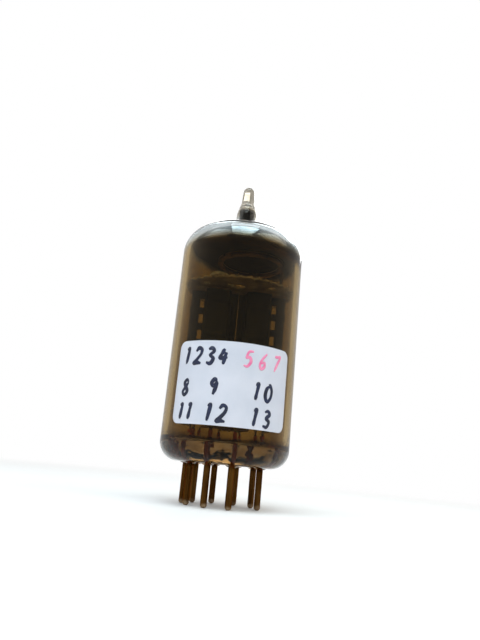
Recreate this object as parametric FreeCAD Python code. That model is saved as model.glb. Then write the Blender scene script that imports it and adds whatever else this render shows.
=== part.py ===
import FreeCAD, Part
import math
import os

os.makedirs("parts", exist_ok=True)

V = FreeCAD.Vector

# Dual triode vacuum tube, standing on its pin tips
# Origin on the tube's axis at the pin tips, +Z up through the exhaust tip, -Y the label's side
# All sizes in millimetres; heights are above the pin tips

# Base pins on the standard nine-pin circle
PIN_R = 0.508
PIN_CIRCLE_R = 5.945
PIN_STEP = 36.0
PIN_1_ANGLE = 85.2
PIN_COUNT = 9
PIN_TIP = 0.45
PIN_TIP_R = 0.28
SEAT_Z = 6.35
BEAD_H = 0.23
BEAD_R = 1.1
INNER_BEAD_H = 0.65

# Glass bulb and button stem
GLASS_R = 10.4
WALL = 1.0
CORNER_R = 3.0
SEAM_IN = 1.8
BUTTON_T = 3.05
SHOULDER_Z = 41.4
SHOULDER_R = 4.6
CROWN_R = 18.75
TIP_R = 1.0
TIP_TOP = 55.5
TIP_WALL = 0.42
THROAT_END = 3.5
STALK_DOWN = 5.6
NECK_DOWN = 3.3

# Seal wires through the button
SEAL_R = 0.3
SEAL_UP = 2.0
WIRE_SIDES = 8

# Mica spacers
MICA_GAP = 0.03
MICA_T = 0.3
MICA_TEETH = 40
TOOTH = 0.5
LOW_Z = 13.8
HIGH_Z = 34.9
PLAY = 0.02

# Sizes that follow from those above
INNER_R = GLASS_R - WALL
SEAM_R = GLASS_R - SEAM_IN
BEAD_Z = SEAT_Z - BEAD_H
BUTTON_TOP = SEAT_Z + BUTTON_T
SEAL_TOP = BUTTON_TOP + SEAL_UP
MICA_R = INNER_R - MICA_GAP

# Vent holes in the micas
VENT_R = 0.096 * MICA_R
VENT_Y = 0.46 * MICA_R
SMALL_VENT_R = 0.064 * MICA_R
SMALL_VENT_X = 0.55 * MICA_R
SMALL_VENT_Y = 0.53 * MICA_R

# Anodes, each a pair of pressed half shells; plan sizes are shares of the mica's radius
SHEET = 0.2
BOX_IN = 0.1227 * MICA_R
BOX_OUT = 0.6137 * MICA_R
BOX_DEPTH = 0.2508 * MICA_R
BOX_SLOPE = 0.3
BOX_BEND = 0.35
FLANGE_IN = 0.1
FLANGE_OUT = 0.87 * MICA_R
WINDOW_GAP = 0.05
WINDOW_W = 0.8
WINDOW_H = 1.6
WINDOW_PITCH = 2.75
WINDOW_COUNT = 7
RIB_COUNT = 4
RIB_H = 1.1
RIB_PROUD = 0.25
RIB_END = 0.45
CRIMP_COUNT = 3
CRIMP_H = 1.4
CRIMP_W = 0.75
CRIMP_T = 0.15
TAB_W = 1.0
TAB_X = 0.79 * MICA_R
TAB_UP = 1.1
FACE_TAB_DOWN = 0.45

# Inner electrodes of one system, also as shares of the mica's radius
SYSTEM_X = (BOX_IN + BOX_OUT) / 2
CATHODE_R = 0.0854 * MICA_R
CATHODE_WALL = 0.1
CATHODE_OUT = 1.0
ROD_R = 0.0299 * MICA_R
ROD_X = 0.1441 * MICA_R
ROD_OUT = 1.3
GRID_B = 0.1217 * MICA_R
GRID_WIRE = 0.1
GRID_TURNS = 8
GRID_END = 1.0
HEATER_R = 0.17
HEATER_Y = 0.048 * MICA_R
HEATER_IN = 0.7

# Leads under the lower mica
LEAD_R = 0.25
LEAD_DROP = 0.8
ANODE_LEAD_DROP = 1.6
LEAD_BEND = 0.5
HEATER_LEAD_R = 0.2
HEATER_LEAD_DROP = 1.7

# Getter
GETTER_X = 1.53
GETTER_Y = -0.23
GETTER_R = 0.571 * MICA_R
GETTER_W = 0.85
GETTER_H = 0.75
GETTER_SHEET = 0.15
GETTER_UP = 4.8
POST_R = 0.3
POST_X = TAB_X - 0.3
FLASH_GAP = 0.02
FLASH_T = 0.06
FLASH_DOWN = 2.2

# Bright staple over the upper mica
STAPLE_X = -0.363 * MICA_R
STAPLE_SPAN = 3.0
STAPLE_Y = -0.5336 * MICA_R
STAPLE_W = 0.9
STAPLE_T = 0.2
STAPLE_UP = 1.75
STAPLE_BEND = 0.75
STAPLE_FOOT = 0.9

# Paper label on its layer of glue
GLUE_T = 0.02
LABEL_T = 0.08
LABEL_LOW = 11.74
LABEL_HIGH = 24.31
LABEL_START_ANGLE = -52.0
LABEL_END_ANGLE = 54.5
LABEL_CORNER = 1.2


def save(node, shape):
    """Write one sub-part as one solid."""
    if shape.ShapeType == "Compound" and len(shape.Solids) == 1:
        shape = shape.Solids[0]
    shape.exportStep("parts/" + node + ".step")


def cylinder(r, z0, z1, x=0.0, y=0.0):
    return Part.makeCylinder(r, z1 - z0, V(x, y, z0))


def corners(r, x, y, z):
    """Corners of the eight-sided outline of a thin wire, r from its middle to each flat."""
    pts = []
    for i in range(WIRE_SIDES + 1):
        a = 2 * math.pi * (i + 0.5) / WIRE_SIDES
        corner = r / math.cos(math.pi / WIRE_SIDES)
        pts.append(V(x + corner * math.cos(a), y + corner * math.sin(a), z))
    return pts


def flats(r, x, y, z):
    return Part.makePolygon(corners(r, x, y, z))


def wire_run(r, z0, z1, x=0.0, y=0.0):
    """Upright run of thin wire, or the hole that it needs."""
    return Part.Face(flats(r, x, y, z0)).extrude(V(0, 0, z1 - z0))


def block(x0, x1, y0, y1, z0, z1):
    return Part.makeBox(x1 - x0, y1 - y0, z1 - z0, V(x0, y0, z0))


def line(a, b):
    return Part.LineSegment(V(a[0], 0, a[1]), V(b[0], 0, b[1])).toShape()


def arc(centre, r, a0, a1):
    """Arc in the profile plane, from angle a0 to a1 in degrees."""
    pts = []
    for a in (a0, (a0 + a1) / 2.0, a1):
        t = math.radians(a)
        pts.append(V(centre[0] + r * math.cos(t), 0, centre[1] + r * math.sin(t)))
    return Part.Arc(*pts).toShape()


def arc_through(a, b, c):
    """Arc through three profile points."""
    return Part.Arc(V(a[0], 0, a[1]), V(b[0], 0, b[1]), V(c[0], 0, c[1])).toShape()


def revolve(edges):
    face = Part.Face(Part.Wire(edges))
    return face.revolve(V(0, 0, 0), V(0, 0, 1), 360)


def pin_place(number):
    a = math.radians(PIN_1_ANGLE + PIN_STEP * (number - 1))
    return PIN_CIRCLE_R * math.sin(a), -PIN_CIRCLE_R * math.cos(a)


def half_turn(shape):
    """The same piece of the other system, half a turn round the tube's axis."""
    return shape.rotated(V(0, 0, 0), V(0, 0, 1), 180)


def bent_wire(points, r, bend=0.5):
    """Thin wire up from its first point, along straight runs with each corner cut by a short run."""
    pts = [V(*p) for p in points]
    path = [pts[0]]
    for a, b, c in zip(pts, pts[1:], pts[2:]):
        path.append(b + (a - b).normalize() * bend)
        path.append(b + (c - b).normalize() * bend)
    path.append(pts[-1])
    ring = flats(r, pts[0].x, pts[0].y, pts[0].z)
    return Part.makePolygon(path).makePipeShell([ring], True, False, 1)


# Glass

def crown_numbers(inset):
    """Crown centre height and the angle where shoulder and crown meet."""
    drop = math.sqrt((CROWN_R - SHOULDER_R) ** 2 - (GLASS_R - SHOULDER_R) ** 2)
    meet = math.degrees(math.atan2(drop, GLASS_R - SHOULDER_R))
    return SHOULDER_Z - drop, meet, SHOULDER_R - inset, CROWN_R - inset


def dome_edges(inset, r_stop):
    """Outside line of the dome from the shoulder's foot to radius r_stop, and where it ends."""
    zc, meet, r_s, r_c = crown_numbers(inset)
    stop = math.degrees(math.acos(r_stop / r_c))
    end = (r_stop, zc + r_c * math.sin(math.radians(stop)))
    return [arc((GLASS_R - SHOULDER_R, SHOULDER_Z), r_s, 0, meet), arc((0, zc), r_c, meet, stop)], end


def dome_inside(inset, r_stop):
    """Inside line of the dome in a few straight steps on its two arcs, and where it ends."""
    zc, meet, r_s, r_c = crown_numbers(inset)
    stop = math.degrees(math.acos(r_stop / r_c))
    pts = []
    for x, z, r, angles in ((GLASS_R - SHOULDER_R, SHOULDER_Z, r_s, (0, meet / 3, 2 * meet / 3, meet)),
                            (0, zc, r_c, ((meet + stop) / 2, stop))):
        pts += [(x + r * math.cos(math.radians(a)), z + r * math.sin(math.radians(a))) for a in angles]
    return [line(a, b) for a, b in zip(pts, pts[1:])], pts[-1]


def tip_outside(start):
    """Exhaust tip: flared root, slightly tapered stalk, necked and drawn out to a rounded end."""
    top, r, z = TIP_TOP, TIP_R, start[1]
    waist, neck = top - STALK_DOWN, top - NECK_DOWN
    pts = [start, (2.32 * r, z + 0.5 * r), (2.02 * r, z + 1.1 * r), (1.93 * r, z + 1.6 * r), (1.82 * r, waist),
           (1.58 * r, (waist + neck) / 2), (1.18 * r, neck), (r, top - r)]
    return [line(a, b) for a, b in zip(pts, pts[1:])] + [arc((0, top - r), r, 0, 90)]


def tip_inside(start):
    """Throat of the tip, closed where the tube was sealed off."""
    r = TIP_R - TIP_WALL
    close = TIP_TOP - THROAT_END
    pts = [start, (2.62 * r, start[1] + 0.4), (2.0 * r, start[1] + 1.3), (r, close - r), (0, close)]
    return [line(a, b) for a, b in zip(pts, pts[1:])], close


def corner_z(r):
    """Height of the rounded foot's outside at radius r."""
    return SEAT_Z + CORNER_R - math.sqrt(CORNER_R ** 2 - (r - (GLASS_R - CORNER_R)) ** 2)


def glass_bulb():
    """Blown bulb with the sealed exhaust tip, open where the button closes it."""
    foot = (GLASS_R - CORNER_R, SEAT_Z + CORNER_R)
    a_seam = math.degrees(math.atan2(corner_z(SEAM_R) - foot[1], SEAM_R - foot[0]))
    outer, o_end = dome_edges(0.0, 3.4 * TIP_R)
    inner, i_end = dome_inside(WALL, 2.2 * TIP_R)
    throat, close = tip_inside(i_end)
    fillet = INNER_R - SEAM_R
    edges = [arc(foot, CORNER_R, a_seam, 0), line((GLASS_R, foot[1]), (GLASS_R, SHOULDER_Z))]
    edges += outer + tip_outside(o_end) + [line((0, TIP_TOP), (0, close))] + throat
    edges += inner + [line((INNER_R, SHOULDER_Z), (INNER_R, BUTTON_TOP + fillet))]
    edges += [line((INNER_R, BUTTON_TOP + fillet), (SEAM_R, BUTTON_TOP))]
    edges += [line((SEAM_R, BUTTON_TOP), (SEAM_R, corner_z(SEAM_R)))]
    return revolve(Part.__sortEdges__(edges))


def bead(r0, r1, z0, z1, x, y):
    """Bead of glass drawn up round a wire, tapered from one radius to the other."""
    a, b = corners(r0, x, y, z0), corners(r1, x, y, z1)
    faces = [Part.Face(Part.makePolygon(a)), Part.Face(Part.makePolygon(b))]
    faces += [Part.Face(Part.makePolygon([a[i], a[i + 1], b[i + 1], b[i], a[i]])) for i in range(WIRE_SIDES)]
    return Part.Solid(Part.Shell(faces))


def button_stem():
    """Pressed glass button with a bead round every wire, above and below."""
    foot = (GLASS_R - CORNER_R, SEAT_Z + CORNER_R)
    a_seam = math.degrees(math.atan2(corner_z(SEAM_R) - foot[1], SEAM_R - foot[0]))
    edges = [line((0, SEAT_Z), (foot[0], SEAT_Z)), arc(foot, CORNER_R, -90, a_seam),
             line((SEAM_R, corner_z(SEAM_R)), (SEAM_R, BUTTON_TOP)), line((SEAM_R, BUTTON_TOP), (0, BUTTON_TOP)),
             line((0, BUTTON_TOP), (0, SEAT_Z))]
    body = revolve(Part.__sortEdges__(edges))
    extra, holes = [], []
    for number in range(1, PIN_COUNT + 1):
        x, y = pin_place(number)
        extra.append(bead(PIN_R + 0.08, BEAD_R, BEAD_Z, SEAT_Z + PLAY, x, y))
        extra.append(bead(BEAD_R, SEAL_R + 0.15, BUTTON_TOP - PLAY, BUTTON_TOP + INNER_BEAD_H, x, y))
        holes.append(wire_run(SEAL_R, BEAD_Z - 1, SEAL_TOP, x, y))
    return body.multiFuse(extra).cut(Part.makeCompound(holes)).removeSplitter()


# Pins and seal wires

def pin(number):
    """Hard pin with a tapered tip, butt-welded to its seal wire inside the bead."""
    x, y = pin_place(number)
    return cylinder(PIN_R, PIN_TIP, BEAD_Z, x, y).fuse(Part.makeCone(PIN_TIP_R, PIN_R, PIN_TIP, V(x, y, 0)))


def seal_wire(number):
    x, y = pin_place(number)
    return wire_run(SEAL_R, BEAD_Z, SEAL_TOP, x, y)


# Mica spacers

def mica(z, top):
    """Thin disc with a toothed rim that grips the bulb, pierced for the electrodes."""
    pts = []
    for i in range(2 * MICA_TEETH):
        r = MICA_R if i % 2 == 0 else MICA_R - TOOTH
        a = math.pi * i / MICA_TEETH
        pts.append(V(r * math.cos(a), r * math.sin(a), z))
    disc = Part.Face(Part.makePolygon(pts + pts[:1])).extrude(V(0, 0, MICA_T))
    z0, z1 = z - 1, z + MICA_T + 1
    cuts = []
    for side in (-1, 1):
        cuts.append(cylinder(CATHODE_R + PLAY, z0, z1, side * SYSTEM_X))
        for rod in (-1, 1):
            cuts.append(wire_run(ROD_R + PLAY, z0, z1, side * SYSTEM_X + rod * ROD_X))
        cuts.append(cylinder(VENT_R, z0, z1, 0, side * VENT_Y))
        cuts.append(cylinder(SMALL_VENT_R, z0, z1, side * SMALL_VENT_X, -side * SMALL_VENT_Y))
    for cut in tab_boxes(PLAY, z0, z1):
        cuts += [cut, half_turn(cut)]
    if top:
        for x in staple_legs():
            cuts.append(block(x - STAPLE_T / 2, x + STAPLE_T / 2, STAPLE_Y - STAPLE_W / 2,
                              STAPLE_Y + STAPLE_W / 2, z0, z1))
    return disc.cut(Part.makeCompound(cuts))


# Anodes

def tab_boxes(play, z0, z1):
    """Where the front half's flange and face tabs, and the back half's face tab, pass the mica."""
    x_flange = (TAB_X - TAB_W / 2, TAB_X + TAB_W / 2)
    x_face = (SYSTEM_X - TAB_W / 2, SYSTEM_X + TAB_W / 2)
    return [block(x_flange[0] - play, x_flange[1] + play, -SHEET - play, play, z0, z1),
            block(x_face[0] - play, x_face[1] + play, -BOX_DEPTH - play, SHEET - BOX_DEPTH + play, z0, z1),
            block(x_face[0] - play, x_face[1] + play, BOX_DEPTH - SHEET - play, BOX_DEPTH + play, z0, z1)]


def half_shell():
    """Front half: box section, narrow inner flange, wide outer flange with windows, ribs across the face."""
    t, d, lean = SHEET, BOX_DEPTH, BOX_SLOPE
    z0, z1 = LOW_Z + MICA_T, HIGH_Z
    pts = [(FLANGE_IN, 0), (FLANGE_IN, -t), (BOX_IN, -t), (BOX_IN + lean, -d), (BOX_OUT - lean, -d),
           (BOX_OUT, -t), (FLANGE_OUT, -t), (FLANGE_OUT, 0), (BOX_OUT - t, 0), (BOX_OUT - lean - t, t - d),
           (BOX_IN + lean + t, t - d), (BOX_IN + t, 0)]
    outline = [V(x, y, z0) for x, y in pts]
    body = Part.Face(Part.makePolygon(outline + outline[:1])).extrude(V(0, 0, z1 - z0))
    bends = [e for e in body.Edges if abs(abs(e.CenterOfMass.y) - d) < 1e-6 and e.BoundBox.ZLength > (z1 - z0) / 2]
    body = body.makeFillet(BOX_BEND, bends)
    for i in range(RIB_COUNT):
        z = z0 + (z1 - z0) * (i + 0.5) / RIB_COUNT
        x0, x1 = BOX_IN + lean + RIB_END, BOX_OUT - lean - RIB_END
        outer = Part.makeCylinder(RIB_H, x1 - x0, V(x0, RIB_H - RIB_PROUD - d, z), V(1, 0, 0))
        inner = Part.makeCylinder(RIB_H - t, x1 - x0 - 2 * t, V(x0 + t, RIB_H - RIB_PROUD - d, z), V(1, 0, 0))
        keep = block(x0, x1, -d - RIB_H, t - d, z - 2 * RIB_H, z + 2 * RIB_H)
        body = body.fuse(outer.common(keep)).cut(inner.common(keep))
    span = WINDOW_PITCH * (WINDOW_COUNT - 1)
    for i in range(WINDOW_COUNT):
        z = (z0 + z1) / 2 - span / 2 + i * WINDOW_PITCH
        x0 = BOX_OUT + WINDOW_GAP
        body = body.cut(block(x0, x0 + WINDOW_W, -2 * t, t, z - WINDOW_H / 2, z + WINDOW_H / 2))
    return body


def anode_front():
    """Front half of the right-hand anode, with its tabs and the crimps that hold the back half."""
    low, face_low, high = LOW_Z - TAB_UP, LOW_Z - FACE_TAB_DOWN, HIGH_Z + MICA_T + TAB_UP
    adds = [tab_boxes(0, low, LOW_Z + MICA_T)[0], tab_boxes(0, face_low, LOW_Z + MICA_T)[1]]
    adds += tab_boxes(0, HIGH_Z, high)[:2]
    for i in range(CRIMP_COUNT):
        z0 = LOW_Z + MICA_T + (HIGH_Z - LOW_Z - MICA_T) * (i + 0.5) / CRIMP_COUNT - CRIMP_H / 2
        adds.append(block(FLANGE_OUT, FLANGE_OUT + CRIMP_T, -SHEET, SHEET + CRIMP_T, z0, z0 + CRIMP_H))
        adds.append(block(FLANGE_OUT - CRIMP_W, FLANGE_OUT, SHEET, SHEET + CRIMP_T, z0, z0 + CRIMP_H))
    return half_shell().multiFuse(adds).removeSplitter()


def anode_back():
    """Back half of the right-hand anode, held by the front half's crimps."""
    low, high = LOW_Z - FACE_TAB_DOWN, HIGH_Z + MICA_T + TAB_UP
    adds = tab_boxes(0, low, LOW_Z + MICA_T)[2:] + tab_boxes(0, HIGH_Z, high)[2:]
    body = half_shell().mirror(V(0, 0, 0), V(0, 1, 0))
    return body.multiFuse(adds).removeSplitter()


# Grid, cathode and heater

def oval(a, b, z):
    """Flat twelve-sided oval, the outline that the lateral wire takes over the rods."""
    pts = [V(SYSTEM_X + a * math.cos(math.radians(t)), b * math.sin(math.radians(t)), z) for t in range(0, 360, 30)]
    return Part.Face(Part.makePolygon(pts + pts[:1]))


def grid():
    """Two side rods and the turns of lateral wire peened into them."""
    z0, z1 = LOW_Z - ROD_OUT, HIGH_Z + ROD_OUT
    rods = [wire_run(ROD_R, z0, z1, SYSTEM_X + side * ROD_X) for side in (-1, 1)]
    first, last = LOW_Z + MICA_T + GRID_END, HIGH_Z - GRID_END
    a = ROD_X + ROD_R + PLAY
    turns = []
    for i in range(GRID_TURNS):
        z = first + (last - first) * i / (GRID_TURNS - 1)
        ring = oval(a, GRID_B, z).cut(oval(a - GRID_WIRE, GRID_B - GRID_WIRE, z))
        turns.append(ring.extrude(V(0, 0, GRID_WIRE)))
    return rods[0].multiFuse([rods[1]] + turns)


def cathode():
    z0, z1 = LOW_Z - ROD_OUT, HIGH_Z + CATHODE_OUT
    sleeve = cylinder(CATHODE_R, z0, z1, SYSTEM_X)
    return sleeve.cut(cylinder(CATHODE_R - CATHODE_WALL, z0 - WALL, z1 + WALL, SYSTEM_X))


def heater():
    """Coated wire folded once, its bend near the sleeve's upper end."""
    top = HIGH_Z - HEATER_IN
    bottom = LOW_Z - HEATER_LEAD_DROP + HEATER_LEAD_R / math.cos(math.pi / WIRE_SIDES)
    y = HEATER_Y
    path = [V(SYSTEM_X, *p) for p in ((y, bottom), (y, top), (y / 2, top + y / 2), (-y / 2, top + y / 2), (-y, top), (-y, bottom))]
    return Part.makePolygon(path).makePipeShell([flats(HEATER_R, SYSTEM_X, y, bottom)], True, False, 1)


# Leads from the seal wires to the electrodes

def anode_lead():
    x, y = pin_place(1)
    y_end, z = -SHEET - LEAD_R, LOW_Z - ANODE_LEAD_DROP
    return bent_wire([(x, y, SEAL_TOP), (x, y, z), (TAB_X, y_end, z), (TAB_X, y_end, LOW_Z - PLAY * 10)],
                     LEAD_R, 0.8 * LEAD_BEND)


def grid_lead():
    """Lead that ends against the outer rod's side."""
    x, y = pin_place(2)
    z = LOW_Z - LEAD_DROP
    rod = wire_run(ROD_R, z - 2 * LEAD_R, z + 2 * LEAD_R, SYSTEM_X + ROD_X)
    return bent_wire([(x, y, SEAL_TOP), (x, y, z), (SYSTEM_X + ROD_X, ROD_R, z)], LEAD_R, LEAD_BEND).cut(rod)


def cathode_lead():
    """Lead that ends against the sleeve's side."""
    x, y = pin_place(3)
    z = LOW_Z - LEAD_DROP
    sleeve = cylinder(CATHODE_R, z - 2 * LEAD_R, z + 2 * LEAD_R, SYSTEM_X)
    end = (SYSTEM_X - 0.19 * CATHODE_R, 0.69 * CATHODE_R, z)
    return bent_wire([(x, y, SEAL_TOP), (x, y, z), end], LEAD_R, LEAD_BEND).cut(sleeve)


def heater_lead(number):
    """Plain lead for one heater end."""
    x, y = pin_place(number)
    side = 1 if number == 4 else -1
    z = LOW_Z - HEATER_LEAD_DROP
    return bent_wire([(x, y, SEAL_TOP), (x, y, z), (side * SYSTEM_X, HEATER_Y, z)], HEATER_LEAD_R, 0.7 * LEAD_BEND)


def heater_tap():
    """Lead from the ninth pin to a cross wire that joins both heaters."""
    x, y = pin_place(9)
    z, r = LOW_Z - HEATER_LEAD_DROP, HEATER_LEAD_R
    stem = bent_wire([(x, y, SEAL_TOP), (x, y, z), (x, -HEATER_Y, z)], r, 0.7 * LEAD_BEND)
    reach = SYSTEM_X + r
    bar = wire_run(r, -reach, reach).rotated(V(0, 0, 0), V(0, 1, 0), 90)
    return stem.fuse(bar.translated(V(0, -HEATER_Y, z)))


# Getter

def getter_ring():
    """Open channel bent into a ring, its mouth towards the dome."""
    r0, r1 = GETTER_R - GETTER_W / 2, GETTER_R + GETTER_W / 2
    x, y, s = GETTER_X, GETTER_Y, GETTER_SHEET
    z0 = HIGH_Z + MICA_T + GETTER_UP
    z1 = z0 + GETTER_H
    body = cylinder(r1, z0, z1, x, y).cut(cylinder(r0, z0 - s, z1 + s, x, y))
    trough = cylinder(r1 - s, z0 + s, z1 + s, x, y).cut(cylinder(r0 + s, z0, z1 + 2 * s, x, y))
    return body.cut(trough)


def getter_post():
    """Wire from the anode's flange tab up to the ring's underside."""
    low = HIGH_Z + MICA_T
    return wire_run(POST_R, low, low + GETTER_UP, POST_X, -SHEET - POST_R)


def getter_flash():
    """Thin metal film on the dome's inside."""
    outer, o_end = dome_inside(WALL + FLASH_GAP, 2.4 * TIP_R)
    inner, i_end = dome_inside(WALL + FLASH_GAP + FLASH_T, 2.4 * TIP_R)
    low, r0, r1 = SHOULDER_Z - FLASH_DOWN, INNER_R - FLASH_GAP, INNER_R - FLASH_GAP - FLASH_T
    edges = outer + inner + [line(o_end, i_end), line((r0, SHOULDER_Z), (r0, low)),
                             line((r0, low), (r1, low)), line((r1, low), (r1, SHOULDER_Z))]
    return revolve(Part.__sortEdges__(edges))


def staple_legs():
    return STAPLE_X - STAPLE_SPAN / 2, STAPLE_X + STAPLE_SPAN / 2


def top_edges(shape, z):
    """Edges along Y at height z."""
    return [e for e in shape.Edges if e.BoundBox.YLength > STAPLE_W / 2 and e.BoundBox.XLength < STAPLE_T
            and abs(e.CenterOfMass.z - z) < 1e-6]


def top_strap():
    """Bright ribbon staple through the upper mica, its feet bent under it."""
    x0, x1 = staple_legs()
    y0, y1 = STAPLE_Y - STAPLE_W / 2, STAPLE_Y + STAPLE_W / 2
    t, low, top = STAPLE_T, HIGH_Z - STAPLE_T, HIGH_Z + MICA_T + STAPLE_UP
    body = block(x0 - t / 2, x1 + t / 2, y0, y1, low, top)
    body = body.makeFillet(STAPLE_BEND, top_edges(body, top))
    core = block(x0 + t / 2, x1 - t / 2, y0, y1, low - t, top - t)
    core = core.makeFillet(STAPLE_BEND - t, top_edges(core, top - t))
    feet = [block(x0 - STAPLE_FOOT, x0 + t / 2, y0, y1, low, HIGH_Z),
            block(x1 - t / 2, x1 + STAPLE_FOOT, y0, y1, low, HIGH_Z)]
    return body.cut(core).multiFuse(feet).removeSplitter()


def label():
    """Paper label wrapped round the bulb's front, with rounded corners."""
    a0, a1 = LABEL_START_ANGLE, LABEL_END_ANGLE
    z0, z1 = LABEL_LOW, LABEL_HIGH
    r0 = GLASS_R + GLUE_T
    r1 = r0 + LABEL_T
    face = Part.Face(Part.makePolygon([V(r0, 0, z0), V(r1, 0, z0), V(r1, 0, z1), V(r0, 0, z1), V(r0, 0, z0)]))
    sheet = face.revolve(V(0, 0, 0), V(0, 0, 1), a1 - a0)
    sheet = sheet.rotated(V(0, 0, 0), V(0, 0, 1), -90 + a0)
    c = LABEL_CORNER
    for a, inward in ((a0, 1), (a1, -1)):
        for z, down in ((z1, 1), (z0, -1)):
            turn = math.degrees(c / GLASS_R) * inward
            square = Part.makeBox(2 * c, 2 * c, 2 * c,
                                  V(GLASS_R - c, 0 if inward < 0 else -2 * c, 0 if down > 0 else -2 * c))
            cutter = square.cut(Part.makeCylinder(c, 4 * c, V(GLASS_R - 2 * c, 0, 0), V(1, 0, 0)))
            cutter.translate(V(0, 0, z - down * c))
            sheet = sheet.cut(cutter.rotated(V(0, 0, 0), V(0, 0, 1), -90 + a + turn))
    return sheet


# All nodes

save("glass_bulb", glass_bulb())
save("button_stem", button_stem())
for n in range(1, PIN_COUNT + 1):
    save("pin_%d" % n, pin(n))
    save("seal_wire_%d" % n, seal_wire(n))
save("mica_bottom", mica(LOW_Z, False))
save("mica_top", mica(HIGH_Z, True))

front, back = anode_front(), anode_back()
save("anode_2_front", front)
save("anode_2_back", back)
save("anode_1_back", half_turn(front))
save("anode_1_front", half_turn(back))

for name, piece in (("grid", grid()), ("cathode", cathode()), ("heater", heater())):
    save(name + "_2", piece)
    save(name + "_1", half_turn(piece))

for n, piece in ((1, anode_lead()), (2, grid_lead()), (3, cathode_lead())):
    save("lead_%d" % n, piece)
    save("lead_%d" % (n + 5), half_turn(piece))
save("lead_4", heater_lead(4))
save("lead_5", heater_lead(5))
save("lead_9", heater_tap())

save("getter_ring", getter_ring())
save("getter_post", getter_post())
save("getter_flash", getter_flash())
save("top_strap", top_strap())
save("label", label())
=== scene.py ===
import math
import bpy
import numpy as np
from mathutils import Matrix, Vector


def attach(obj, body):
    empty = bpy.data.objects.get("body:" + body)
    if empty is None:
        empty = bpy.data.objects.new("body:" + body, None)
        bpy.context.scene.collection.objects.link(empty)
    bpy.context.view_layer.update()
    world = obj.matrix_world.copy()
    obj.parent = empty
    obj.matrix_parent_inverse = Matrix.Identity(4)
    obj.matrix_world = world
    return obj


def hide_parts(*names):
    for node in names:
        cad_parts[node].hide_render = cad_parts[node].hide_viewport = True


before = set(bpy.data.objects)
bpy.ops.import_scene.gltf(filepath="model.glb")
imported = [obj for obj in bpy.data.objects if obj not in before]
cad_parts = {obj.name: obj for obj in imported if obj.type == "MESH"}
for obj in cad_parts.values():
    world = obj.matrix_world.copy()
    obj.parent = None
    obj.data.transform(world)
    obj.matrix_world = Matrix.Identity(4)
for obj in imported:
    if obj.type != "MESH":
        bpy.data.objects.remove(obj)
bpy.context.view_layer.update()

# The tube stands on its nine pins, on its own axis, with the label towards the camera.
# Every size below is in millimetres and is turned into metres where a mesh is made.

# Glass: one envelope of soft glass, a blown bulb fused all round to a pressed button,
# with a bead round each wire and the exhaust tube drawn out and sealed off at the top.
# It is amber, deepest and most swirled in the thick foot, and paler on the tip; over the dome it is paler still, its
# blue-grey a painted reflection of a cool window.

MM = 0.001
ROUND = 2 * math.pi
GLASS_R, WALL, SEAT, BUTTON_TOP, FOOT_ROUND, FILLET = 10.4, 1.0, 6.35, 9.4, 3.0, 0.8
SHOULDER_Z, SHOULDER_R, CROWN_R, TIP_TOP, TIP_R = 41.4, 4.6, 18.75, 55.5, 1.0
INNER_R = GLASS_R - WALL


def bow(cx, cz, r, a0, a1, n):
    """Points of a circular arc: centre plus r times the cosine and sine of n angles from a0 to a1 degrees."""
    t = np.radians(np.linspace(a0, a1, n))
    return np.stack([cx + r * np.cos(t), cz + r * np.sin(t)], 1)


def run(a, b, n):
    """n points evenly along the straight line from a to b."""
    t = np.linspace(0, 1, n)[:, None]
    return np.asarray(a, float) * (1 - t) + np.asarray(b, float) * t


def bow_through(a, b, c, n):
    """Arc through three points: the circle's centre solves the two equal-distance equations."""
    a, b, c = (np.asarray(p, float) for p in (a, b, c))
    m = np.array([b - a, c - b]) * 2
    centre = np.linalg.solve(m, [b @ b - a @ a, c @ c - b @ b])
    ang = [math.degrees(math.atan2(*(p - centre)[::-1])) for p in (a, b, c)]
    ang = np.degrees(np.unwrap(np.radians(ang)))
    return bow(centre[0], centre[1], np.linalg.norm(a - centre), ang[0], ang[2], n)


def join(*parts):
    """Profile parts in a row, with a point dropped where it repeats the one before."""
    p = np.concatenate(parts)
    keep = np.r_[True, np.linalg.norm(np.diff(p, axis=0), axis=1) > 1e-5]
    return p[keep]


def turned(profile, steps, flip=False):
    """Surface of revolution: x = r cos(angle), y = r sin(angle); a profile point at r = 0 becomes one pole."""
    a = np.arange(steps) * ROUND / steps
    r, z = profile[:, 0], profile[:, 1]
    grid = np.stack([np.outer(r, np.cos(a)), np.outer(r, np.sin(a)), np.repeat(z[:, None], steps, 1)], 2)
    rows = len(profile)
    j = np.arange(steps)
    k = (j + 1) % steps
    quads, tris = [], []
    points, start = [], np.zeros(rows, int)
    count = 0
    for i in range(rows):
        start[i] = count
        points.append(grid[i, :1] if r[i] < 1e-6 else grid[i])
        count += len(points[-1])
    for i in range(rows - 1):
        lo, hi = start[i], start[i + 1]
        if r[i] < 1e-6:
            tris.append(np.stack([np.full(steps, lo), hi + k, hi + j], 1))
        elif r[i + 1] < 1e-6:
            tris.append(np.stack([lo + j, lo + k, np.full(steps, hi)], 1))
        else:
            quads.append(np.stack([lo + j, lo + k, hi + k, hi + j], 1))
    faces = [list(map(int, f)) for block in quads + tris for f in (block[:, ::-1] if flip else block)]
    return np.concatenate(points), faces


def hoop(profile, steps):
    """Closed profile turned to a ring: a surface of revolution whose last row is joined back to its first."""
    points, faces = turned(profile, steps)
    last = (len(profile) - 1) * steps
    j = np.arange(steps)
    k = (j + 1) % steps
    return points, faces + np.stack([last + j, last + k, k, j], 1).tolist()


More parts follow.
